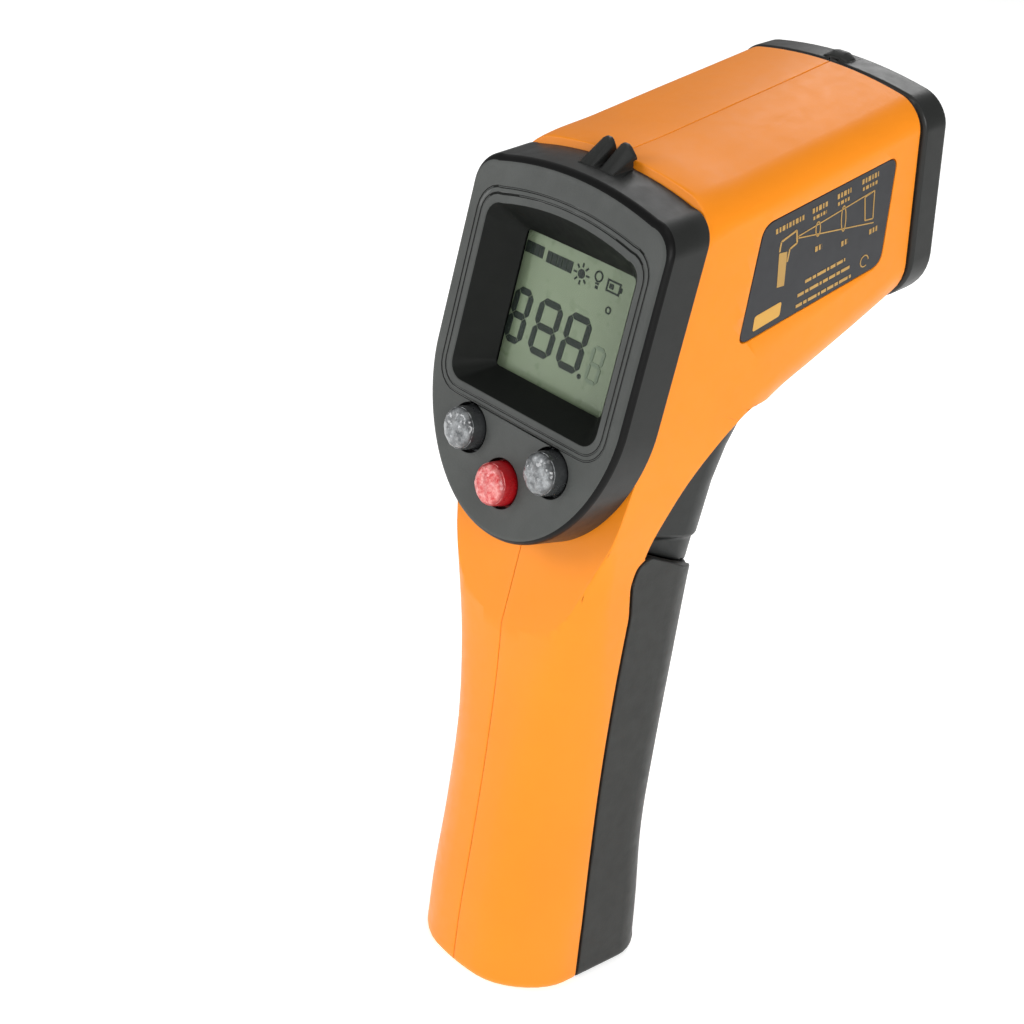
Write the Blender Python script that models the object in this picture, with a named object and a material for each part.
"""Pistol-grip infrared thermometer, modelled as it comes apart on a bench.

The object stands on the flat end of its grip.  Row frame: +Z up along the grip, +Y forward
(the way the sensor looks), +X to the user's right.  The barrel points 13 degrees up from +Y.
Numbers below are millimetres; meshes are built in metres.
"""

import math

import bmesh
import bpy
from mathutils import Vector

MM = 0.001

# ---------------------------------------------------------------- driving dimensions
BARREL_TILT = 13.0  # degrees between the barrel and the floor when the grip stands upright
FACE_LEAN = 22.7  # degrees the display face leans back from square to the barrel
NOSE_LEAN = 5.2  # degrees the nose leans forward from square to the barrel
FACE_TOP = (-10.6, 146.9)  # (y, z) of the display face's top edge on the centre line
WALL = 2.0  # moulded wall of the casing
GAP = 0.3  # space between pieces that touch
PART_LINE = 0.15  # half of the gap between the two casing halves

# display bezel, in the face frame: x across, u down from the top edge, n out of the face
BEZEL_HALF = 22.1
BEZEL_DEPTH = 8.5
BEZEL_TIP = 60.0  # u of the bezel's lowest point
BEZEL_STRAIGHT = 34.2  # u where the sides start to curve in
BEZEL_CORNER = 5.0
BEZEL_EDGE = 1.3  # rounding between the face and the bezel's side
BEZEL_DOME = 3.4  # drop of the arched top edge at the sides
TOP_SHIFT = 2.7  # the top edge follows the barrel, so it rises towards the back
WINDOW_TOP, WINDOW_BOTTOM, WINDOW_HALF, WINDOW_ARCH = 6.7, 38.7, 17.4, 2.8
THROAT_TOP, THROAT_BOTTOM, THROAT_HALF = 12.4, 34.9, 12.2
FUNNEL_DEPTH = 5.4
FUNNEL_WALL = 1.4
LCD_TOP, LCD_BOTTOM, LCD_HALF = 10.9, 36.7, 13.6

# keys, at (x, u) on the face
KEY_HOLE_R, KEY_R, KEY_FLANGE_R, KEY_STEM_R = 4.1, 3.75, 4.8, 2.5
KEY_PROUD = 3.4
KEYS = {
    "backlight_key": (-9.7, 45.0),
    "unit_key": (9.7, 45.0),
    "laser_key": (0.0, 50.8),
}
BOARD_FACE, BOARD_BACK = 11.0, 12.2  # depth of the main board's two faces below the face
BOARD_SCREWS = [(-12.0, 5.2), (12.0, 5.2), (-16.2, 40.9), (16.2, 40.9)]  # (x, u)
TRIGGER_SWITCH_U = 46.5

# nose, in the nose frame: y forward from the casing's end, z up
NOSE_ORIGIN = (57.3, 0.0)  # (b, h) in the barrel frame
NOSE_HALF = 20.9
NOSE_HEIGHT = 39.2
NOSE_DEPTH = 6.2
LENS_Z, LASER_Z = -21.8, -6.6
APERTURE_MOUTH_R, APERTURE_THROAT_R = 12.8, 9.0

# grip
SEAM_GAP = 0.6
DOOR_WALL = 1.8
DOOR_PIVOT = (14.2, 3.6)
DOOR_ARM_X = (2.6, 4.6)  # the casing's two arms, on both sides of the middle
DOOR_KNUCKLE_X = (5.2, 8.2)
DOOR_PIN_R = 0.6
DOOR_LIP_Y, FLOOR_END_Y = 10.9, 9.0
TRIGGER_PIVOT = (17.5, 113.5)
PIN_R = 1.15
TRIGGER_HALF, TRIGGER_NARROW, TRIGGER_TAIL = 15.0, 13.2, 14.4
CELL_R, CELL_LENGTH = 5.25, 44.5  # AAA cells
CELL_Y, CELL_X = 4.6, 5.7
CELL_1_Z, CELL_2_Z = 20.5, 15.2  # lower ends; the second cell is upside down
SCREWS = {  # (y, z) of the casing screws, which run across the casing
    "casing_screw_nose": (42.6, 123.8),
    "casing_screw_top": (8.4, 144.4),
    "casing_screw_middle": (-8.6, 79.0),
    "casing_screw_grip": (-9.6, 46.0),
    "casing_screw_base": (-9.8, 9.5),
}
HEAD_SEAT_X = -8.0
BOSS_R = 3.6

# Sections of the casing from the nose, round the bend behind the trigger, to the grip's end.
# Each is a plane across the casing: its inner (lower, front) and outer (upper, rear) ends on
# the centre line, then half-width, outer and inner corner radius, outer and inner dome.
SECTIONS = [
    # inner y, z      outer y, z      half  r_out r_in  dome_out dome_in
    (50.6, 121.1, 45.2, 159.8, 20.1, 4.6, 9.3, 2.5, 0.8),
    (41.3, 116.6, 34.2, 157.2, 20.4, 4.6, 9.3, 2.5, 0.8),
    (32.0, 112.5, 21.5, 154.3, 20.7, 4.8, 9.0, 2.5, 0.8),
    (25.6, 109.9, 8.9, 151.4, 21.0, 5.0, 8.5, 2.6, 1.0),
    (22.4, 108.2, -3.8, 148.4, 21.3, 5.5, 8.5, 2.6, 1.2),
    (20.6, 106.6, -14.0, 142.0, 21.4, 6.0, 9.0, 2.4, 1.5),
    (19.4, 103.8, -19.0, 128.0, 21.3, 6.0, 9.0, 2.2, 1.8),
    (18.6, 100.0, -20.2, 112.0, 20.6, 7.0, 9.0, 2.2, 2.0),
    (17.8, 94.3, -19.0, 97.0, 19.6, 6.4, 9.0, 2.2, 2.4),
    (16.8, 87.5, -16.2, 87.0, 18.4, 6.0, 9.0, 2.0, 2.6),
    (16.4, 80.0, -15.6, 78.5, 17.6, 6.2, 8.5, 2.0, 2.4),
    (16.6, 63.0, -14.8, 62.0, 16.5, 8.5, 8.5, 2.6, 1.9),
    (16.5, 45.0, -15.0, 45.0, 15.9, 10.5, 8.5, 3.2, 1.8),
    (16.3, 28.0, -15.8, 28.0, 15.9, 11.0, 8.5, 3.4, 1.8),
    (17.6, 12.0, -16.8, 12.0, 16.2, 11.0, 8.5, 3.4, 1.8),
    (18.5, 0.0, -17.0, 0.0, 16.3, 11.0, 8.5, 3.4, 1.8),
]
BASE_EDGE = 1.8  # rounding of the grip's lower edge

# Side outline (y, z) of what is cut away for the trigger; the trigger itself sits inside it.
TRIGGER_OPENING = [
    (60.0, 90.0),
    (27.6, 109.6),
    (16.5, 111.4),
    (12.9, 110.8),
    (9.6, 108.2),
    (6.9, 105.2),
    (4.3, 102.0),
    (2.0, 98.6),
    (0.0, 94.8),
    (-1.7, 90.8),
    (-2.6, 87.2),
    (60.0, 61.0),
]
# Line (y, z) between the casing and the battery door, which is all of the grip in front of it.
DOOR_LINE = [(-1.4, -0.1), (-2.8, 76.0), (-4.1, 82.4), (-3.6, 85.8), (-1.2, 87.4), (30.0, 73.5)]
TRIGGER_OUTLINE = [  # (y, z), clockwise from the bottom rear corner
    (-1.5, 87.0),
    (-2.6, 89.2),
    (-2.4, 91.5),
    (-0.6, 96.0),
    (2.4, 101.0),
    (6.2, 105.6),
    (9.6, 109.2),
    (12.4, 112.0),
    (14.2, 114.2),
    (15.6, 115.8),
    (18.2, 116.6),
    (20.2, 115.2),
    (20.3, 112.0),
    (20.8, 109.2),
    (24.4, 107.2),
    (25.4, 105.2),
    (22.7, 100.0),
    (20.5, 94.5),
    (19.3, 88.5),
    (18.5, 84.0),
    (17.6, 80.6),
    (14.0, 80.3),
]
TRIGGER_FRONT = [  # z of a level at its front, y of the front, half-width
    (72.0, 15.8, TRIGGER_TAIL),
    (80.0, 17.5, TRIGGER_TAIL),
    (84.2, 18.3, TRIGGER_TAIL),
    (84.6, 18.5, TRIGGER_HALF),
    (88.5, 19.3, TRIGGER_HALF),
    (94.0, 20.4, TRIGGER_HALF),
    (100.0, 22.6, TRIGGER_HALF),
    (105.0, 25.4, TRIGGER_HALF),
    (106.2, 26.0, TRIGGER_HALF),
    (106.6, 26.1, TRIGGER_NARROW),
    (120.0, 29.0, TRIGGER_NARROW),
]
TRIGGER_SLOPE = 0.226  # the levels rise towards the back, like the trigger's lower edge
LABEL = [(13.0, -27.2), (19.2, -8.8), (51.0, -8.8), (47.6, -26.8)]  # (b, h) corners
LABEL_CORNER = 2.2
LABEL_DEPTH = 0.6

ORANGE = (0.95, 0.36, 0.05)
BLACK = (0.035, 0.037, 0.036)
GREY_KEY = (0.16, 0.17, 0.18)
RED_KEY = (0.62, 0.03, 0.03)
GREEN_BOARD = (0.03, 0.22, 0.09)
LCD_GREEN = (0.45, 0.52, 0.37)
STEEL = (0.62, 0.62, 0.6)
BRASS = (0.75, 0.55, 0.25)
GOLD_FOIL = (0.7, 0.42, 0.1)


# ---------------------------------------------------------------- scene and frames
def clear_scene():
    for obj in list(bpy.data.objects):
        bpy.data.objects.remove(obj)


def frame_empty(name, y, z, tilt_deg):
    empty = bpy.data.objects.new(name, None)
    bpy.context.scene.collection.objects.link(empty)
    empty.location = (0, y * MM, z * MM)
    empty.rotation_euler = (math.radians(tilt_deg), 0, 0)
    return empty


def from_barrel(b, h):
    """(y, z) of the point b along the barrel and h above its top line."""
    c, s = math.cos(math.radians(BARREL_TILT)), math.sin(math.radians(BARREL_TILT))
    return FACE_TOP[0] + b * c - h * s, FACE_TOP[1] + b * s + h * c


clear_scene()
BODY = frame_empty("body_frame", 0, 0, 0)
BARREL = frame_empty("barrel_frame", *FACE_TOP, BARREL_TILT)
# local +Y runs up the display face and local +Z out of it
FACE = frame_empty("face_frame", *FACE_TOP, BARREL_TILT + 90 - FACE_LEAN)
NOSE = frame_empty("nose_frame", *from_barrel(*NOSE_ORIGIN), BARREL_TILT - NOSE_LEAN)


def material(name, colour, roughness=0.5, metallic=0.0, alpha=1.0):
    found = bpy.data.materials.get(name)
    if found:
        return found
    made = bpy.data.materials.new(name)
    made.use_nodes = True
    shader = made.node_tree.nodes["Principled BSDF"]
    shader.inputs["Base Color"].default_value = (*colour, 1)
    shader.inputs["Roughness"].default_value = roughness
    shader.inputs["Metallic"].default_value = metallic
    shader.inputs["Alpha"].default_value = alpha
    return made


CASING = material("orange_abs", ORANGE, 0.38)
BLACK_ABS = material("black_abs", BLACK, 0.45)
BLACK_RUBBER = material("trigger_black", BLACK, 0.55)
CLEAR = material("clear_window", (0.9, 0.92, 0.9), 0.05, alpha=0.3)
LCD_GLASS = material("lcd_glass", LCD_GREEN, 0.2)
DIFFUSER = material("diffuser", (0.85, 0.88, 0.82), 0.5)
GREY_SILICONE = material("grey_silicone", GREY_KEY, 0.3)
RED_SILICONE = material("red_silicone", RED_KEY, 0.3)
MAT_SILICONE = material("mat_silicone", (0.2, 0.2, 0.2), 0.6)
CARBON = material("carbon", (0.02, 0.02, 0.02), 0.8)
BOARD = material("circuit_board", GREEN_BOARD, 0.4)
CHIP = material("chip_epoxy", (0.02, 0.02, 0.02), 0.4)
STEEL_MAT = material("steel", STEEL, 0.3, 1.0)
BRASS_MAT = material("brass", BRASS, 0.3, 1.0)
LENS = material("infrared_lens", (0.85, 0.85, 0.82), 0.35)
GLASS = material("laser_glass", (0.6, 0.1, 0.1), 0.05)
LABEL_INK = material("label_film", (0.03, 0.032, 0.034), 0.4)
CELL = material("cell_wrap", GOLD_FOIL, 0.3)
RED_WIRE = material("red_wire", (0.6, 0.03, 0.03), 0.4)
BLACK_WIRE = material("black_wire", (0.02, 0.02, 0.02), 0.4)
WHITE_RIBBON = material("white_ribbon", (0.8, 0.8, 0.78), 0.5)


# ---------------------------------------------------------------- building helpers
def add_object(name, verts, faces, look, frame=BODY, at=(0, 0, 0), smooth_deg=35):
    """A mesh object from millimetre points, in a frame, with its origin at `at`."""
    mesh = bpy.data.meshes.new(name)
    offset = Vector(at)
    mesh.from_pydata([(Vector(v) - offset) * MM for v in verts], [], faces)
    shape = bmesh.new()
    shape.from_mesh(mesh)
    bmesh.ops.recalc_face_normals(shape, faces=shape.faces)
    shape.to_mesh(mesh)
    shape.free()
    mesh.shade_smooth()
    mesh.set_sharp_from_angle(angle=math.radians(smooth_deg))
    mesh.materials.append(look)
    obj = bpy.data.objects.new(name, mesh)
    bpy.context.scene.collection.objects.link(obj)
    obj.parent = frame
    obj.location = offset * MM
    return obj


def helper(obj):
    """Marks a cutter or another piece that only shapes its neighbours."""
    obj.hide_render = True
    obj.display_type = "WIRE"
    return obj


def combine(obj, other, operation="DIFFERENCE"):
    cut = obj.modifiers.new(operation.title() + " " + other.name, "BOOLEAN")
    cut.operation = operation
    cut.object = other
    return obj


def rings_solid(rings):
    """Faces and points of a closed solid through rings of equal size, capped at both ends."""
    count = len(rings[0])
    verts = [p for ring in rings for p in ring]
    faces = [tuple(range(count))[::-1]]
    for k in range(len(rings) - 1):
        for i in range(count):
            j = (i + 1) % count
            a, b = k * count, (k + 1) * count
            faces.append((a + i, a + j, b + j, b + i))
    last = (len(rings) - 1) * count
    faces.append(tuple(range(last, last + count)))
    return verts, faces


def prism(name, outline, low, high, look, frame=BODY, axis="x", at=(0, 0, 0)):
    """An outline extruded along one axis: (y, z) along x, (x, z) along y, (x, y) along z."""
    place = {
        "x": lambda p, q, t: (t, p, q),
        "y": lambda p, q, t: (p, t, q),
        "z": lambda p, q, t: (p, q, t),
    }[axis]
    rings = [[place(p, q, t) for p, q in outline] for t in (low, high)]
    return add_object(name, *rings_solid(rings), look, frame, at)


def box(name, low, high, look, frame=BODY, at=(0, 0, 0)):
    outline = [(low[0], low[1]), (high[0], low[1]), (high[0], high[1]), (low[0], high[1])]
    return prism(name, outline, low[2], high[2], look, frame, "z", at)


def circle(cx, cy, radius, sides, turn=0.0):
    steps = [turn + 2 * math.pi * k / sides for k in range(sides)]
    return [(cx + radius * math.cos(a), cy + radius * math.sin(a)) for a in steps]


def rod(name, centre, radius, low, high, look, frame=BODY, axis="x", sides=16, at=(0, 0, 0)):
    return prism(name, circle(*centre, radius, sides), low, high, look, frame, axis, at)


def turned(name, profile, centre, look, frame=BODY, axis="z", sides=24, at=(0, 0, 0)):
    """A solid turned from (radius, height) points about an axis through `centre`.

    A profile that starts and ends on the axis is closed by its tips; one that does not is a
    ring, closed from its last point to its first.
    """
    place = {
        "x": lambda p, q, t: (t, centre[0] + p, centre[1] + q),
        "y": lambda p, q, t: (centre[0] + p, t, centre[1] + q),
        "z": lambda p, q, t: (centre[0] + p, centre[1] + q, t),
    }[axis]
    verts, rows = [], []
    for radius, height in profile:
        if radius < 1e-6:
            rows.append([len(verts)] * sides)
            verts.append(place(0, 0, height))
            continue
        rows.append([len(verts) + k for k in range(sides)])
        verts += [place(p, q, height) for p, q in circle(0, 0, radius, sides)]
    hollow = profile[0][0] > 1e-6
    pairs = list(zip(rows, rows[1:] + rows[:1])) if hollow else list(zip(rows, rows[1:]))
    faces = []
    for row, after in pairs:
        for k in range(sides):
            j = (k + 1) % sides
            corners = [row[k], row[j], after[j], after[k]]
            kept = [c for i, c in enumerate(corners) if c not in corners[:i]]
            if len(kept) > 2:
                faces.append(tuple(kept))
    return add_object(name, verts, faces, look, frame, at)


def rounded_outline(corners, radii, steps=4):
    """A polygon with each corner replaced by a curve that is tangent to its two sides."""
    out, count = [], len(corners)
    for i, corner in enumerate(corners):
        here = Vector(corner)
        before = Vector(corners[i - 1]) - here
        after = Vector(corners[(i + 1) % count]) - here
        radius = radii[i] if hasattr(radii, "__len__") else radii
        if radius <= 0:
            out.append(tuple(here))
            continue
        half = before.angle(after) / 2
        reach = min(radius / math.tan(half), 0.49 * before.length, 0.49 * after.length)
        start, end = here + before.normalized() * reach, here + after.normalized() * reach
        for k in range(steps + 1):
            t = k / steps
            out.append(tuple(start * (1 - t) ** 2 + here * 2 * t * (1 - t) + end * t * t))
    return out


def coil(name, centre, radius, wire, low, high, turns, look):
    """A compression spring: a round wire along an upright helix between two heights."""
    per_turn, sides = 9, 5
    steps = int(turns * per_turn)
    verts = []
    for k in range(steps + 1):
        a = 2 * math.pi * k / per_turn
        height = low + wire + (high - low - 2 * wire) * k / steps
        for s in range(sides):
            b = 2 * math.pi * s / sides
            r = radius + wire * math.cos(b)
            x, y = centre[0] + r * math.cos(a), centre[1] + r * math.sin(a)
            verts.append((x, y, height + wire * math.sin(b)))
    rings = [verts[k * sides : (k + 1) * sides] for k in range(steps + 1)]
    return add_object(name, *rings_solid(rings), look)


def wire_run(name, points, radius, look, steps=3):
    """A lead along a smooth curve through hand-placed points."""
    data = bpy.data.curves.new(name, "CURVE")
    data.dimensions = "3D"
    data.bevel_depth = radius * MM
    data.bevel_resolution = 1
    data.use_fill_caps = True
    fine = smooth_path([Vector(p) for p in points], steps)
    line = data.splines.new("POLY")
    line.points.add(len(fine) - 1)
    for target, p in zip(line.points, fine):
        target.co = (*(p * MM), 1)
    data.materials.append(look)
    obj = bpy.data.objects.new(name, data)
    bpy.context.scene.collection.objects.link(obj)
    return obj


def smooth_path(points, steps):
    """Catmull-Rom points through the given ones."""
    out = []
    for k in range(len(points) - 1):
        p0, p1 = points[max(k - 1, 0)], points[k]
        p2, p3 = points[k + 1], points[min(k + 2, len(points) - 1)]
        for s in range(steps):
            out.append(cubic(p0, p1, p2, p3, s / steps))
    return out + [points[-1]]


def cubic(p0, p1, p2, p3, t):
    return 0.5 * (
        2 * p1
        + (p2 - p0) * t
        + (2 * p0 - 5 * p1 + 4 * p2 - p3) * t * t
        + (3 * p1 - p0 - 3 * p2 + p3) * t * t * t
    )


# ---------------------------------------------------------------- the casing's shape
def section_values(steps):
    """The casing's sections, with `steps` smooth ones in each interval of SECTIONS."""
    rows = [Vector(row) for row in SECTIONS]
    return smooth_path(rows, steps)


def half_outline(width, height, r_out, r_in, dome_out, dome_in, corner_steps=4):
    """(x, v) from the outer end's middle to the inner end's middle, v from 0 to height."""
    points = [(0, height), (0.5 * (width - r_out), height)]
    for k in range(corner_steps + 1):
        a = math.pi / 2 * (1 - k / corner_steps)
        points.append((width - r_out + r_out * math.cos(a), height - r_out + r_out * math.sin(a)))
    points.append((width, 0.5 * (height - r_out + r_in)))
    for k in range(corner_steps + 1):
        a = -math.pi / 2 * k / corner_steps
        points.append((width - r_in + r_in * math.cos(a), r_in + r_in * math.sin(a)))
    points += [(0.5 * (width - r_in), 0), (0, 0)]
    domed = []
    for x, v in points:
        share, bow = v / height, (x / width) ** 2
        domed.append((x, v - dome_out * bow * share + dome_in * bow * (1 - share)))
    return domed


def section_ring(row, inset, outer_stretch=1.0, corner_steps=4):
    """One closed section as (x, y, z) points, moved inwards by `inset`."""
    inner, outer = Vector(row[0:2]), Vector(row[2:4])
    along = (outer - inner).normalized()
    inner, outer = inner + along * inset, outer - along * inset * outer_stretch
    width, height = row[4] - inset, (outer - inner).length
    r_out, r_in = max(row[5] - inset, 1.0), max(row[6] - inset, 1.0)
    half = half_outline(width, height, r_out, r_in, row[7], row[8], corner_steps)
    right = [(x, *(inner + along * v)) for x, v in half]
    left = [(-x, y, z) for x, y, z in right[1:-1][::-1]]
    return right + left


def casing_outer(name, steps=2):
    """The outside of the casing and the battery door together."""
    rows = section_values(steps)
    rings = [section_ring(row, 0.0) for row in rows[:-1]]
    for rise, share in ((BASE_EDGE, 0.0), (0.5, 0.35), (0.0, 1.0)):
        ring = section_ring(rows[-1], share * BASE_EDGE * 0.9)
        rings.append([(x, y, rise) for x, y, z in ring])
    return add_object(name, *rings_solid(rings), CASING)


def casing_inner(name, inset, floor_z, steps=1):
    """The hollow inside the casing, open at the nose and ending at floor_z."""
    rows = section_values(steps)
    rings = []
    for k, row in enumerate(rows):
        before, after = rows[max(k - 1, 0)], rows[min(k + 1, len(rows) - 1)]
        travel = (Vector(after[2:4]) - Vector(before[2:4])).normalized()
        along = (Vector(row[2:4]) - Vector(row[0:2])).normalized()
        square = max(0.6, abs(along.cross(travel)))
        if row[1] > floor_z + 0.5:
            rings.append(section_ring(row, inset, 1 / square, 2))
    nose = Vector((0, *from_barrel(4, 0))) - Vector((0, *FACE_TOP))
    rings.insert(0, [tuple(Vector(p) + nose) for p in rings[0]])
    rings.append([(x, y, floor_z) for x, y, z in rings[-1]])
    return helper(add_object(name, *rings_solid(rings), CASING))


def in_face(points):
    """(x, u) points of the display face as (x, y) in the face frame."""
    return [(x, -u) for x, u in points]


def face_outline(inset=0.0, top_shift=0.0, corner_steps=4, tail_steps=8):
    """The bezel's outline as (x, u): arched top, straight sides and a rounded tail."""
    half, top = BEZEL_HALF - inset, inset - top_shift
    corner = max(BEZEL_CORNER - inset, 1.0)
    shoulder = half - corner
    right = [(shoulder * k / 4, top + BEZEL_DOME * (shoulder * k / 4 / half) ** 2) for k in range(4)]
    drop = top + BEZEL_DOME * (shoulder / half) ** 2
    for k in range(corner_steps + 1):
        a = math.pi / 2 * (1 - k / corner_steps)
        right.append((shoulder + corner * math.cos(a), drop + corner * (1 - math.sin(a))))
    tail = BEZEL_TIP - inset - BEZEL_STRAIGHT
    for k in range(tail_steps):
        a = math.pi / 2 * k / tail_steps
        right.append((half * math.cos(a) ** 0.97, BEZEL_STRAIGHT + tail * math.sin(a) ** 1.12))
    right.append((0.0, BEZEL_STRAIGHT + tail))
    return right + [(-x, u) for x, u in right[1:-1][::-1]]


def window_outline(half, top, bottom, arch, corner, steps=2):
    """The display opening as (x, u): arched top, rounded corners."""
    right = [(0.0, top)]
    shoulder = half - corner
    right += [(shoulder * k / 3, top + arch * (shoulder * k / 3 / half) ** 2) for k in (1, 2)]
    drop = top + arch * (shoulder / half) ** 2
    for k in range(steps + 1):
        a = math.pi / 2 * (1 - k / steps)
        right.append((shoulder + corner * math.cos(a), drop + corner * (1 - math.sin(a))))
    for k in range(steps + 1):
        a = math.pi / 2 * k / steps
        right.append((shoulder + corner * math.cos(a), bottom - corner * (1 - math.sin(a))))
    right.append((0.0, bottom))
    return right + [(-x, u) for x, u in right[1:-1][::-1]]


def behind_face(name, depth):
    """Everything behind a plane that lies `depth` below the display face."""
    return helper(box(name, (-60, -120, -depth), (60, 60, 80), CASING, FACE))


def at_face(x, u, n):
    """World millimetres of a point of the display face's frame."""
    lean = math.radians(BARREL_TILT + 90 - FACE_LEAN)
    c, s = math.cos(lean), math.sin(lean)
    return x, FACE_TOP[0] - u * c - n * s, FACE_TOP[1] - u * s + n * c


def at_nose(x, y, z):
    """World millimetres of a point of the nose's frame."""
    lean = math.radians(BARREL_TILT - NOSE_LEAN)
    c, s = math.cos(lean), math.sin(lean)
    origin = from_barrel(*NOSE_ORIGIN)
    return x, origin[0] + y * c - z * s, origin[1] + y * s + z * c


# ---------------------------------------------------------------- casing halves
def casing_side_x(b):
    """Half-width of the barrel's flat side at b along the barrel."""
    return 19.9 + (NOSE_ORIGIN[0] - b) * 0.0274


def label_plate(name, side, outer, inner, grow=0.0):
    """A plate on the barrel's side, between two distances from the casing's surface."""
    corners = rounded_outline(LABEL, LABEL_CORNER, 3)
    middle = Vector((sum(b for b, _ in LABEL) / 4, sum(h for _, h in LABEL) / 4))
    rings = []
    for offset in (inner, outer):
        ring = []
        for b, h in corners:
            away = (Vector((b, h)) - middle).normalized() * grow
            ring.append((side * (casing_side_x(b) + offset), b + away.x, h + away.y))
        rings.append(ring)
    return add_object(name, *rings_solid(rings), LABEL_INK, BARREL)


def casing_hollow():
    """The casing's inside, less the screw columns, the pin bosses and the web under the bezel."""
    hollow = casing_inner("casing_hollow", WALL, WALL)
    for name, (y, z) in SCREWS.items():
        column = helper(rod(name + "_column", (y, z), BOSS_R, -30, 30, CASING, sides=16))
        combine(hollow, column)
    for side in (-1, 1):
        ends = sorted((side * 13.6, side * 30))
        boss = helper(rod(f"pin_boss_{side}", TRIGGER_PIVOT, 3.2, *ends, CASING, sides=16))
        combine(hollow, boss)
    web = helper(box("bezel_web", (-30, -74, -10.7), (30, -43.4, -8.0), CASING, FACE))
    room = prism("bezel_web_room", in_face(face_outline(2.3, 0, 2, 6)), -12, -6, CASING, FACE, "z")
    combine(web, helper(room))
    return combine(hollow, web)


def offset_line(points, distance):
    """An open line moved to its left."""
    line, moved = [Vector(p) for p in points], []
    for k, point in enumerate(line):
        before = point - line[k - 1] if k else line[1] - point
        after = line[k + 1] - point if k + 1 < len(line) else before
        sides = [Vector((-part.y, part.x)).normalized() for part in (before, after)]
        left = (sides[0] + sides[1]).normalized()
        moved.append(tuple(point + left * distance / left.dot(sides[0])))
    return moved


def in_front_of_seam(distance):
    """(y, z) outline of all that lies in front of the door's line, moved back by a distance."""
    line = offset_line(DOOR_LINE, distance)
    return [(line[0][0], -5), *line, (40, -5)]


def casing_cutters():
    face = behind_face("face_cut", BEZEL_DEPTH)
    trigger = helper(prism("trigger_cut", TRIGGER_OPENING, -40, 40, CASING))
    door = helper(prism("door_cut", in_front_of_seam(SEAM_GAP / 2), -40, 40, CASING))
    pin = helper(rod("pin_hole", TRIGGER_PIVOT, PIN_R + GAP, -16.8, 16.8, CASING, sides=12))
    return [face, trigger, door, pin]


def screw_cutters():
    """Shank holes, and head recesses in the left half."""
    cutters = []
    for name, (y, z) in SCREWS.items():
        hole = rod(name + "_hole", (y, z), 1.3, HEAD_SEAT_X - 1, 9.0, CASING, sides=10)
        recess = rod(name + "_recess", (y, z), 2.4, -40, HEAD_SEAT_X, CASING, sides=14)
        cutters.append((helper(hole), helper(recess)))
    return cutters


def grip_floor():
    """The floor in front of the seam, with two arms that carry the door's hinge pin."""
    pin_y, pin_z = DOOR_PIVOT
    floor = helper(box("floor_plate", (-13.4, -1.2, 0), (13.4, FLOOR_END_Y, 2.0), CASING))
    root = helper(box("floor_root", (-13.4, -6.0, 0), (-PART_LINE, -1.0, 2.0), CASING))
    combine(floor, root, "UNION")
    tip = [(pin_y + 1.4 * math.cos(a), pin_z + 1.4 * math.sin(a)) for a in
           (math.radians(-90 + 22.5 * k) for k in range(9))]
    side_view = [(4.0, 1.0), (FLOOR_END_Y - 0.4, 1.9), *tip, (9.0, pin_z + 1.4), (4.0, 3.4)]
    for side in (-1, 1):
        ends = sorted((side * DOOR_ARM_X[0], side * DOOR_ARM_X[1]))
        arm = helper(prism(f"floor_arm_{side}", side_view, *ends, CASING))
        combine(floor, arm, "UNION")
    hole = helper(rod("door_pin_hole", DOOR_PIVOT, DOOR_PIN_R + GAP, -20, 20, CASING, sides=10))
    return combine(floor, hole)


def casing_half(name, side, hollow, cutters, screws, floor):
    half = casing_outer(name)
    combine(half, hollow)
    ends = sorted((side * PART_LINE, side * 60))
    keep = helper(box(f"keep_{side}", (ends[0], -90, -20), (ends[1], 120, 200), CASING))
    combine(half, keep, "INTERSECT")
    for cutter in cutters:
        combine(half, cutter)
    for hole, recess in screws:
        combine(half, hole)
        if side < 0:
            combine(half, recess)
    label = helper(label_plate(f"label_recess_{side}", side, 3.0, -0.65, GAP))
    combine(half, label)
    if floor:
        combine(half, floor, "UNION")
    return half


def casing_screw(name, y, z):
    seat = HEAD_SEAT_X - GAP
    profile = [
        (0, seat - 1.2), (0.8, seat - 1.2), (1.0, seat - 2.0), (1.7, seat - 2.0),
        (2.1, seat - 1.5), (2.1, seat), (1.0, seat), (1.0, 7.2), (0, 8.2),
    ]
    return turned(name, profile, (y, z), STEEL_MAT, axis="x", sides=12)


def make_casing():
    hollow = casing_hollow()
    cutters = casing_cutters()
    screws = screw_cutters()
    casing_half("right_casing", 1, hollow, cutters, screws, None)
    casing_half("left_casing", -1, hollow, cutters, screws, grip_floor())
    for name, (y, z) in SCREWS.items():
        casing_screw(name, y, z)
    label_plate("right_label", 1, 0.15, -0.35)
    label_plate("left_label", -1, 0.15, -0.35)


# ---------------------------------------------------------------- display bezel
def face_ring(outline, n):
    return [(x, -u, n) for x, u in outline]


def sight_fin(name, side):
    """One of the two wedge fins of the rear sight: a ramp that rises towards the nose."""
    foot = [(3.6, -1.5), (8.2, -1.5), (8.5, 0.35), (9.3, 0.35)]
    crest = [(9.1, 2.7), (8.4, 2.8), (3.9, -0.3)]
    rings = []
    for x, keep in ((0.7, 0.6), (1.4, 1.0), (2.4, 1.0), (3.8, 0.4)):
        ring = foot + [(b, max(h * keep, 0.4) if h > 0 else h) for b, h in crest]
        rings.append([(side * x, b, h) for b, h in ring])
    return helper(add_object(name, *rings_solid(rings), BLACK_ABS, BARREL))


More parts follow.
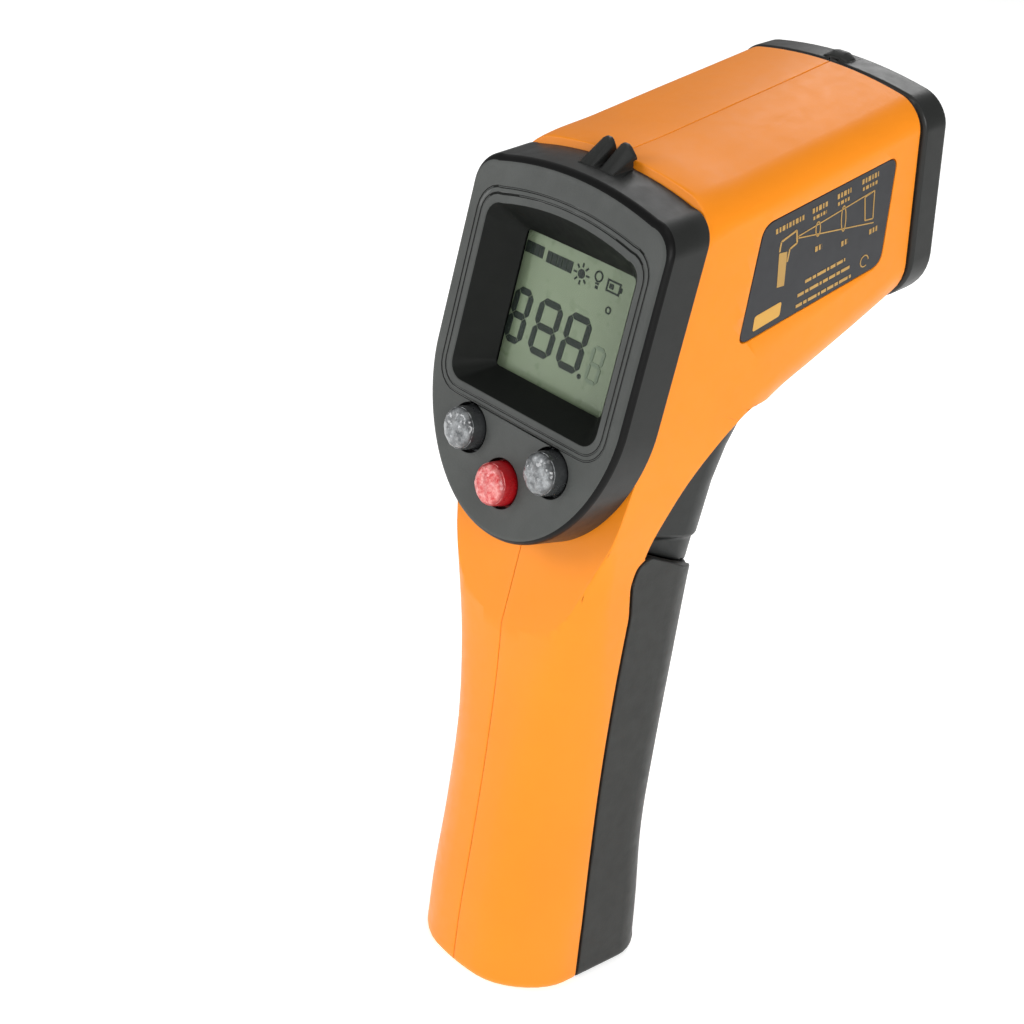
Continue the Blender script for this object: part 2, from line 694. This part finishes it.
def make_rear_bezel():
    edge = BEZEL_EDGE
    rings = []
    for a in (0, 30, 60, 90):
        inset = edge * (1 - math.sin(math.radians(a)))
        depth = edge * (1 - math.cos(math.radians(a)))
        rings.append(face_ring(face_outline(inset, TOP_SHIFT * depth / BEZEL_DEPTH), -depth))
    back = BEZEL_DEPTH - GAP
    rings.append(face_ring(face_outline(0, TOP_SHIFT * back / BEZEL_DEPTH), -back))
    bezel = add_object("rear_bezel", *rings_solid(rings), BLACK_ABS, FACE)

    inside = [(3.2, -2.2, 0.0), (2.0, -3.6, 0.9), (2.0, -9.5, TOP_SHIFT)]
    rings = [face_ring(face_outline(i, shift, 2, 6), n) for i, n, shift in inside]
    combine(bezel, helper(add_object("bezel_hollow", *rings_solid(rings), BLACK_ABS, FACE)))

    mouth = (WINDOW_HALF, WINDOW_TOP, WINDOW_BOTTOM, WINDOW_ARCH, 3.0)
    throat = (THROAT_HALF, THROAT_TOP, THROAT_BOTTOM, 0.0, 0.8)
    for name, grow, top, bottom, how in (
        ("funnel_walls", FUNNEL_WALL, -1.2, -FUNNEL_DEPTH, "UNION"),
        ("funnel_opening", 0.0, 0.2, -FUNNEL_DEPTH - 0.2, "DIFFERENCE"),
    ):
        rings = []
        for (half, high, low, arch, corner), n in ((mouth, top), (throat, bottom)):
            outline = window_outline(half + grow, high - grow, low + grow, arch, corner)
            rings.append(face_ring(outline, n))
        combine(bezel, helper(add_object(name, *rings_solid(rings), BLACK_ABS, FACE)), how)

    for k, (x, u) in enumerate(BOARD_SCREWS):
        post = rod(f"board_post_{k}", (x, -u), 1.9, 0.3 - BOARD_FACE, -1.5, BLACK_ABS, FACE, "z", 10)
        combine(bezel, helper(post), "UNION")
        hole = rod(f"post_hole_{k}", (x, -u), 1.1, -BOARD_FACE - 1, -4.4, BLACK_ABS, FACE, "z", 8)
        combine(bezel, helper(hole))
    for name, (x, u) in KEYS.items():
        hole = rod(name + "_hole", (x, -u), KEY_HOLE_R, -3.0, 1.0, BLACK_ABS, FACE, "z", 24)
        combine(bezel, helper(hole))
    for side in (-1, 1):
        combine(bezel, sight_fin(f"sight_fin_{side}", side), "UNION")


# ---------------------------------------------------------------- display stack and keys
def face_box(name, x_half, u_low, u_high, n_low, n_high, look):
    return box(name, (-x_half, -u_high, n_low), (x_half, -u_low, n_high), look, FACE)


def make_display():
    top, bottom, half = LCD_TOP, LCD_BOTTOM, LCD_HALF
    face_box("display_window", half, top, bottom, -6.5, -5.7, CLEAR)
    face_box("lcd_panel", half, top, bottom, -8.7, -6.8, LCD_GLASS)
    face_box("zebra_strip", half - 0.4, top + 0.3, top + 2.0, -10.7, -9.0, CARBON)
    face_box("light_guide", half - 0.4, top + 2.5, bottom - 0.3, -10.7, -9.0, DIFFUSER)
    frame = face_box("display_frame", half + 1.7, top - 1.6, bottom + 1.6, -10.7, -6.0, BLACK_ABS)
    hole = face_box("display_frame_hole", half + GAP, top - GAP, bottom + GAP, -12, -5, BLACK_ABS)
    combine(frame, helper(hole))


def make_keys():
    corners = [(-13.4, 39.4), (13.4, 39.4), (14.9, 46), (10.2, 53.2), (0, 57), (-10.2, 53.2), (-14.9, 46)]
    outline = in_face(rounded_outline(corners, 2.5, 2))
    mat = prism("keypad_mat", outline, -10.7, -5.2, MAT_SILICONE, FACE, "z")
    for name, (x, u) in KEYS.items():
        look = RED_SILICONE if name == "laser_key" else GREY_SILICONE
        hole = rod(name + "_bore", (x, -u), KEY_STEM_R + 0.4, -12, -4, BLACK_ABS, FACE, "z", 14)
        combine(mat, helper(hole))
        profile = [
            (0, KEY_PROUD), (1.6, KEY_PROUD - 0.1), (2.7, KEY_PROUD - 0.35), (KEY_R - 0.4, KEY_PROUD - 0.9),
            (KEY_R, KEY_PROUD - 1.8), (KEY_R, -2.6), (KEY_FLANGE_R, -2.6), (KEY_FLANGE_R, -3.8),
            (KEY_STEM_R, -3.8), (KEY_STEM_R, -9.0), (0, -9.0),
        ]
        turned(name, profile, (x, -u), look, FACE, sides=16, at=(x, -u, 0))
        pill = [(0, -9.3), (2.2, -9.3), (2.2, -9.8), (0, -9.8)]
        turned(name + "_pill", pill, (x, -u), CARBON, FACE, sides=12, at=(x, -u, 0))


def make_board():
    right = [(0, 3.6), (15.6, 3.6), (17.4, 6.0), (17.4, 41.0), (16.6, 46.0), (13.2, 52.0), (8.0, 56.0)]
    outline = right + [(-x, u) for x, u in right[1:][::-1]]
    board = prism("main_board", in_face(outline), -BOARD_BACK, -BOARD_FACE, BOARD, FACE, "z")
    for k, (x, u) in enumerate(BOARD_SCREWS):
        hole = rod(f"board_hole_{k}", (x, -u), 1.1, -14, -9, BOARD, FACE, "z", 8)
        combine(board, helper(hole))
        head = -BOARD_BACK - GAP
        profile = [
            (0, head - 0.7), (0.6, head - 0.7), (0.8, head - 1.2), (1.3, head - 1.2),
            (1.7, head - 0.8), (1.7, head), (0.8, head), (0.8, -5.4), (0, -4.8),
        ]
        turned(f"board_screw_{k + 1}", profile, (x, -u), STEEL_MAT, FACE, sides=10)

    behind = -BOARD_BACK - GAP
    chip = box("controller_chip", (-5, -24, behind - 1.6), (7, -12, behind), CHIP, FACE)
    chip.modifiers.new("Bevel", "BEVEL").width = 0.25 * MM
    buzzer = [(0, behind), (5, behind), (5, behind - 3.6), (4.6, behind - 4.0), (1.2, behind - 4.0),
              (1.2, behind - 3.2), (0, behind - 3.2)]
    turned("buzzer", buzzer, (-9.0, -32.0), CHIP, FACE, sides=20)

    u = TRIGGER_SWITCH_U
    switch = box("trigger_switch", (-3, -u - 3, behind - 3.5), (3, -u + 3, behind), CHIP, FACE)
    bore = rod("switch_bore", (0, -u), 1.3, behind - 5, behind - 0.7, CHIP, FACE, "z", 12)
    combine(switch, helper(bore))
    tip = behind - 5.5
    plunger = [(0, behind - 2.1), (1.0, behind - 2.1), (1.0, tip + 0.5), (0.7, tip + 0.1), (0, tip)]
    turned("switch_plunger", plunger, (0, -u), DIFFUSER, FACE, sides=12, at=(0, -u, 0))


# ---------------------------------------------------------------- nose and sensor
def nose_ring(y, inset, steps=4):
    width, height = NOSE_HALF - inset, NOSE_HEIGHT - 2 * inset
    r_out, r_in = max(4.8 - inset, 0.8), max(10.0 - inset, 1.0)
    half = half_outline(width, height, r_out, r_in, 2.5, 0.8, steps)
    right = [(x, y, v + inset - NOSE_HEIGHT) for x, v in half]
    return right + [(-x, y, z) for x, y, z in right[1:-1][::-1]]


def nose_solid(name, stations, steps=4):
    rings = [nose_ring(y, inset, steps) for y, inset in stations]
    return add_object(name, *rings_solid(rings), BLACK_ABS, NOSE)


def front_sight():
    rings = []
    for x, top, back, front in ((-2.6, 0.3, 1.2, 4.0), (-1.1, 1.2, 0.8, 4.2), (1.1, 1.2, 0.8, 4.2),
                                (2.6, 0.3, 1.2, 4.0)):
        rings.append([(x, back - 0.6, -1.2), (x, front + 0.2, -1.2), (x, front - 0.6, top * 0.8),
                      (x, back + 1.6, top), (x, back + 0.2, top * 0.45)])
    return helper(add_object("front_sight", *rings_solid(rings), BLACK_ABS, NOSE))


def make_front_bezel():
    end = NOSE_DEPTH
    stations = [(GAP, 0.5), (0.8, 0.0), (end - 1.1, 0.05), (end - 0.45, 0.3), (end - 0.1, 0.75), (end, 1.3)]
    bezel = nose_solid("front_bezel", stations)
    combine(bezel, helper(nose_solid("nose_hollow", [(-1, 2.4), (end - 2.2, 2.4)], 2)))
    for name, radius, low, high in (("aperture_wall", 13.8, 0.9, end - 1.5), ("tube_socket", 11.3, -3.0, 1.4)):
        ring = rod(name, (0, LENS_Z), radius, low, high, BLACK_ABS, NOSE, "y", 32)
        combine(bezel, helper(ring), "UNION")
    collar = helper(nose_solid("nose_collar", [(-3.5, 3.1), (end - 1.8, 3.1)], 2))
    combine(collar, helper(nose_solid("collar_hole", [(-5, 4.5), (end - 1.9, 4.5)], 2)))
    notch = helper(box("laser_notch", (-3.6, -5, -10.3), (3.6, -0.3, 2), BLACK_ABS, NOSE))
    combine(collar, notch)
    combine(bezel, collar, "UNION")
    cone = [(0, end + 0.2), (APERTURE_MOUTH_R, end + 0.2), (APERTURE_THROAT_R, 0.7), (0, 0.7)]
    combine(bezel, helper(turned("aperture", cone, (0, LENS_Z), BLACK_ABS, NOSE, "y", 32)))
    seat = rod("tube_seat", (0, LENS_Z), 9.9, -4, 0.9, BLACK_ABS, NOSE, "y", 32)
    combine(bezel, helper(seat))
    laser = rod("laser_hole", (0, LASER_Z), 1.8, -2, end + 1, BLACK_ABS, NOSE, "y", 16)
    combine(bezel, helper(laser))
    combine(bezel, front_sight(), "UNION")


def make_sensor():
    lens_at, laser_at = (0, LENS_Z), (0, LASER_Z)
    tube = [(9.6, 0.6), (9.6, -9), (6.2, -21), (6.2, -23.6), (5.1, -23.6), (5.1, -20.4), (7.6, -9),
            (7.6, -2.6), (8.6, -2.6), (8.6, 0.6)]
    turned("lens_tube", tube, lens_at, BLACK_ABS, NOSE, "y", 28)
    lens = [(0, 0.2), (3.2, 0.0), (6.0, -0.5), (8.3, -1.2), (8.3, -2.3), (0, -2.3)]
    turned("infrared_lens", lens, lens_at, LENS, NOSE, "y", 28)
    can = [(0, -19.6), (4.1, -19.6), (4.6, -20.1), (4.6, -24.0), (0, -24.0)]
    turned("sensor_can", can, lens_at, STEEL_MAT, NOSE, "y", 20)
    box("sensor_board", (-9, -25.5, LENS_Z - 8), (9, -24.3, LENS_Z + 8), BOARD, NOSE)
    barrel = [(0, -3.4), (1.9, -3.4), (1.9, -0.6), (2.7, -0.6), (3.0, -0.9), (3.0, -12), (0, -12)]
    turned("laser_barrel", barrel, laser_at, BRASS_MAT, NOSE, "y", 16)
    turned("laser_lens", [(0, -1.3), (1.0, -1.5), (1.6, -1.9), (1.6, -3.0), (0, -3.0)], laser_at, GLASS,
           NOSE, "y", 12)
    box("laser_board", (-2.6, -13.4, LASER_Z - 2.6), (2.6, -12.3, LASER_Z + 2.6), BOARD, NOSE)

    top = LASER_Z - 0.2
    groove = [(3.3 * math.cos(a), LASER_Z + 3.3 * math.sin(a)) for a in
              (math.radians(-6 - 168 * k / 8) for k in range(9))]
    foot = [(x, LENS_Z + math.sqrt(9.9**2 - x * x)) for x in (-4.4, -2.2, 0.0, 2.2, 4.4)]
    prism("laser_holder", foot + [(4.4, top)] + groove + [(-4.4, top)], -11, -4.2, BLACK_ABS, NOSE, "y")


# ---------------------------------------------------------------- trigger
def trigger_ring(z, front, half, corner):
    """A level of the trigger that rises to the back: square there, rounded at the front."""
    right = [(half, -12.0)]
    for k in range(5):
        a = math.pi / 2 * k / 4
        x = half - corner + corner * math.cos(a)
        right.append((x, front - 1.2 * (x / half) ** 2 - corner + corner * math.sin(a)))
    right.append((0.0, front))
    points = right + [(-x, y) for x, y in right[:-1][::-1]]
    return [(x, y, z + TRIGGER_SLOPE * (front - y)) for x, y in points]


def make_trigger():
    pivot_y, pivot_z = TRIGGER_PIVOT
    at = (0, pivot_y, pivot_z)
    trigger = prism("trigger", TRIGGER_OUTLINE, -TRIGGER_HALF, TRIGGER_HALF, BLACK_RUBBER, at=at)
    rings = [trigger_ring(z, front, half, 7.5) for z, front, half in TRIGGER_FRONT]
    combine(trigger, helper(add_object("trigger_sides", *rings_solid(rings), BLACK_RUBBER)), "INTERSECT")

    # open at the back, with a floor that follows the slanted lower edge
    low, high = [], []
    for x, y, _ in trigger_ring(0, 16.2, 12.4, 6.0):
        low.append((x, y, 88.6 - 0.42 * max(y, 1.0)))
    for x, y, _ in trigger_ring(0, 21.2, 13.0, 6.0):
        high.append((x, y, 104.0))
    inside = helper(add_object("trigger_hollow", *rings_solid([low, high]), BLACK_RUBBER))
    combine(trigger, inside)
    u = TRIGGER_SWITCH_U
    _, tip_y, tip_z = at_face(0, u, -BOARD_BACK - GAP - 6.0)
    rib = box("pusher_rib", (-1.2, tip_y, tip_z - 1.9), (1.2, 20.5, tip_z + 1.8), BLACK_RUBBER)
    combine(trigger, helper(rib), "UNION")
    slot = box("spring_slot", (-4, 10, pivot_z - 3.6), (4, 26, pivot_z + 6), BLACK_RUBBER)
    combine(trigger, helper(slot))
    hole = rod("trigger_bore", TRIGGER_PIVOT, PIN_R + GAP, -20, 20, BLACK_RUBBER, sides=14)
    combine(trigger, helper(hole))

    rod("trigger_pin", TRIGGER_PIVOT, PIN_R, -16.4, 16.4, STEEL_MAT, sides=14)
    turns, pitch, radius = 5, 1.1, 1.95
    helix = []
    for k in range(turns * 9 + 1):
        a = 2 * math.pi * k / 9
        helix.append((-2.75 + pitch * k / 9, pivot_y - radius * math.sin(a), pivot_z + radius * math.cos(a)))
    first, last = Vector(helix[0]), Vector(helix[-1])
    legs = [first + Vector((0, 4.5, 1.2)), first + Vector((0, 1.6, 0.35))]
    tail = [last + Vector((0, -1.6, 0.35)), last + Vector((0, -4.5, 1.2))]
    wire_run("trigger_spring", legs + [Vector(p) for p in helix] + tail, 0.3, STEEL_MAT, 1)


# ---------------------------------------------------------------- grip
def make_battery_door():
    pin_y, pin_z = DOOR_PIVOT
    door = casing_outer("battery_door")
    door.data.materials[0] = BLACK_ABS
    keep = helper(prism("door_keep", in_front_of_seam(-SEAM_GAP / 2), -40, 40, BLACK_ABS))
    combine(door, keep, "INTERSECT")
    hollow = casing_inner("door_hollow", DOOR_WALL, -3.0)
    lip = helper(box("door_lip", (-9.8, DOOR_LIP_Y, -6), (9.8, 40, 1.6), BLACK_ABS))
    for side in (-1, 1):
        ends = sorted((side * (DOOR_ARM_X[0] - 0.4), side * (DOOR_ARM_X[1] + 0.4)))
        notch = box(f"arm_notch_{side}", (ends[0], 0, -10), (ends[1], pin_y + 2.1, 5), BLACK_ABS)
        combine(lip, helper(notch))
    combine(hollow, lip)
    combine(door, hollow)
    # the front wall stops under the trigger; only the cheeks reach up beside it
    passage = box("trigger_passage", (-14.9, -6, 79.6), (14.9, 40, 120), BLACK_ABS)
    combine(door, helper(passage))
    knuckle = [(pin_y + 1.7 * math.cos(a), pin_z + 1.7 * math.sin(a)) for a in
               (math.radians(90 + 22.5 * k) for k in range(9))]
    knuckle = [(pin_y + 2.9, pin_z + 1.7), *knuckle, (pin_y, 1.0), (pin_y + 2.3, 1.0)]
    for side in (-1, 1):
        ends = sorted((side * DOOR_KNUCKLE_X[0], side * DOOR_KNUCKLE_X[1]))
        combine(door, helper(prism(f"door_knuckle_{side}", knuckle, *ends, BLACK_ABS)), "UNION")
    hole = rod("door_knuckle_hole", DOOR_PIVOT, DOOR_PIN_R + GAP, -20, 20, BLACK_ABS, sides=10)
    combine(door, helper(hole))
    for k in range(4):
        groove = rod(f"door_groove_{k}", (17.3, 14.0 + 2.6 * k), 0.8, -6, 6, BLACK_ABS, sides=8)
        combine(door, helper(groove))
    rod("door_pin", DOOR_PIVOT, DOOR_PIN_R, -8.2, 8.2, STEEL_MAT, sides=10)


def cell(name, x, z, upright):
    """A round cell with its button at the top, or upside down."""
    r, length = CELL_R, CELL_LENGTH
    profile = [(0, length), (1.8, length), (1.9, length - 0.8), (r - 0.6, length - 0.8),
               (r, length - 1.4), (r, 0.5), (r - 0.5, 0), (0, 0)]
    if not upright:
        profile = [(p, length - q) for p, q in profile]
    profile = [(p, q + z) for p, q in profile]
    return turned(name, profile, (x, CELL_Y), CELL, sides=20)


def make_battery_bay():
    outline = [(-2.2, 12.6), (9.0, 12.6), (9.0, 14.2), (-1.0, 14.2), (-1.0, 66.0), (9.0, 66.0),
               (9.0, 67.6), (-2.2, 67.6)]
    tray = prism("battery_tray", outline, -12.4, 12.4, BLACK_ABS)
    rib = box("tray_rib", (-1.0, -1.6, 18), (1.0, 0.6, 62), BLACK_ABS)
    combine(tray, helper(rib), "UNION")
    cell("cell_1", -CELL_X, CELL_1_Z, True)
    cell("cell_2", CELL_X, CELL_2_Z, False)
    box("series_contact", (-10.5, -0.5, 14.5), (10.5, 8.6, 14.9), STEEL_MAT)
    box("positive_contact", (-10.5, -0.5, 65.3), (-1.0, 8.6, 65.7), STEEL_MAT)
    box("negative_contact", (1.0, -0.5, 65.3), (10.5, 8.6, 65.7), STEEL_MAT)
    spring = (2.6, 0.35)
    coil("series_spring", (-CELL_X, CELL_Y), *spring, 15.2, 20.2, 4, STEEL_MAT)
    coil("negative_spring", (CELL_X, CELL_Y), *spring, 60.0, 65.0, 4, STEEL_MAT)


def make_leads():
    end_y, end_z = at_face(0, 54.6, -BOARD_BACK - 1.1)[1:]
    for name, x, look in (("positive_lead", -6.0, RED_WIRE), ("negative_lead", 6.0, BLACK_WIRE)):
        points = [(x, 1.0, 68.6), (x, -1.2, 72.0), (x, -2.6, 78.0), (x, -4.6, 84.0), (x, end_y, end_z)]
        wire_run(name, points, 0.55, look)
    for name, x, look in (("laser_lead_red", -1.4, RED_WIRE), ("laser_lead_black", 1.4, BLACK_WIRE)):
        points = [at_nose(x, -14.3, LASER_Z), at_nose(x, -18, LASER_Z - 0.8), at_nose(x * 2, -26, LASER_Z - 4.5),
                  at_nose(x * 3, -34, LASER_Z - 8), at_face(x * 3.6, 9.6, -BOARD_BACK - 1.2)]
        wire_run(name, points, 0.4, look)


def make_ribbon():
    """A flat cable from the sensor board to the main board."""
    path = [at_nose(0, -26.1, LENS_Z + 2), at_nose(0, -28.4, LENS_Z + 1), at_nose(0, -33, LENS_Z + 2),
            at_face(0, 29.5, -BOARD_BACK - 6), at_face(0, 28.6, -BOARD_BACK - 1.0)]
    fine = smooth_path([Vector(p) for p in path], 4)
    rings = []
    for k, p in enumerate(fine):
        along = fine[min(k + 1, len(fine) - 1)] - fine[max(k - 1, 0)]
        across = Vector((0, -along.z, along.y)).normalized() * 0.2
        rings.append([(-4, *(p - across).yz), (4, *(p - across).yz), (4, *(p + across).yz), (-4, *(p + across).yz)])
    add_object("sensor_ribbon", *rings_solid(rings), WHITE_RIBBON)


make_casing()
make_rear_bezel()
make_display()
make_keys()
make_board()
make_front_bezel()
make_sensor()
make_trigger()
make_battery_door()
make_battery_bay()
make_leads()
make_ribbon()
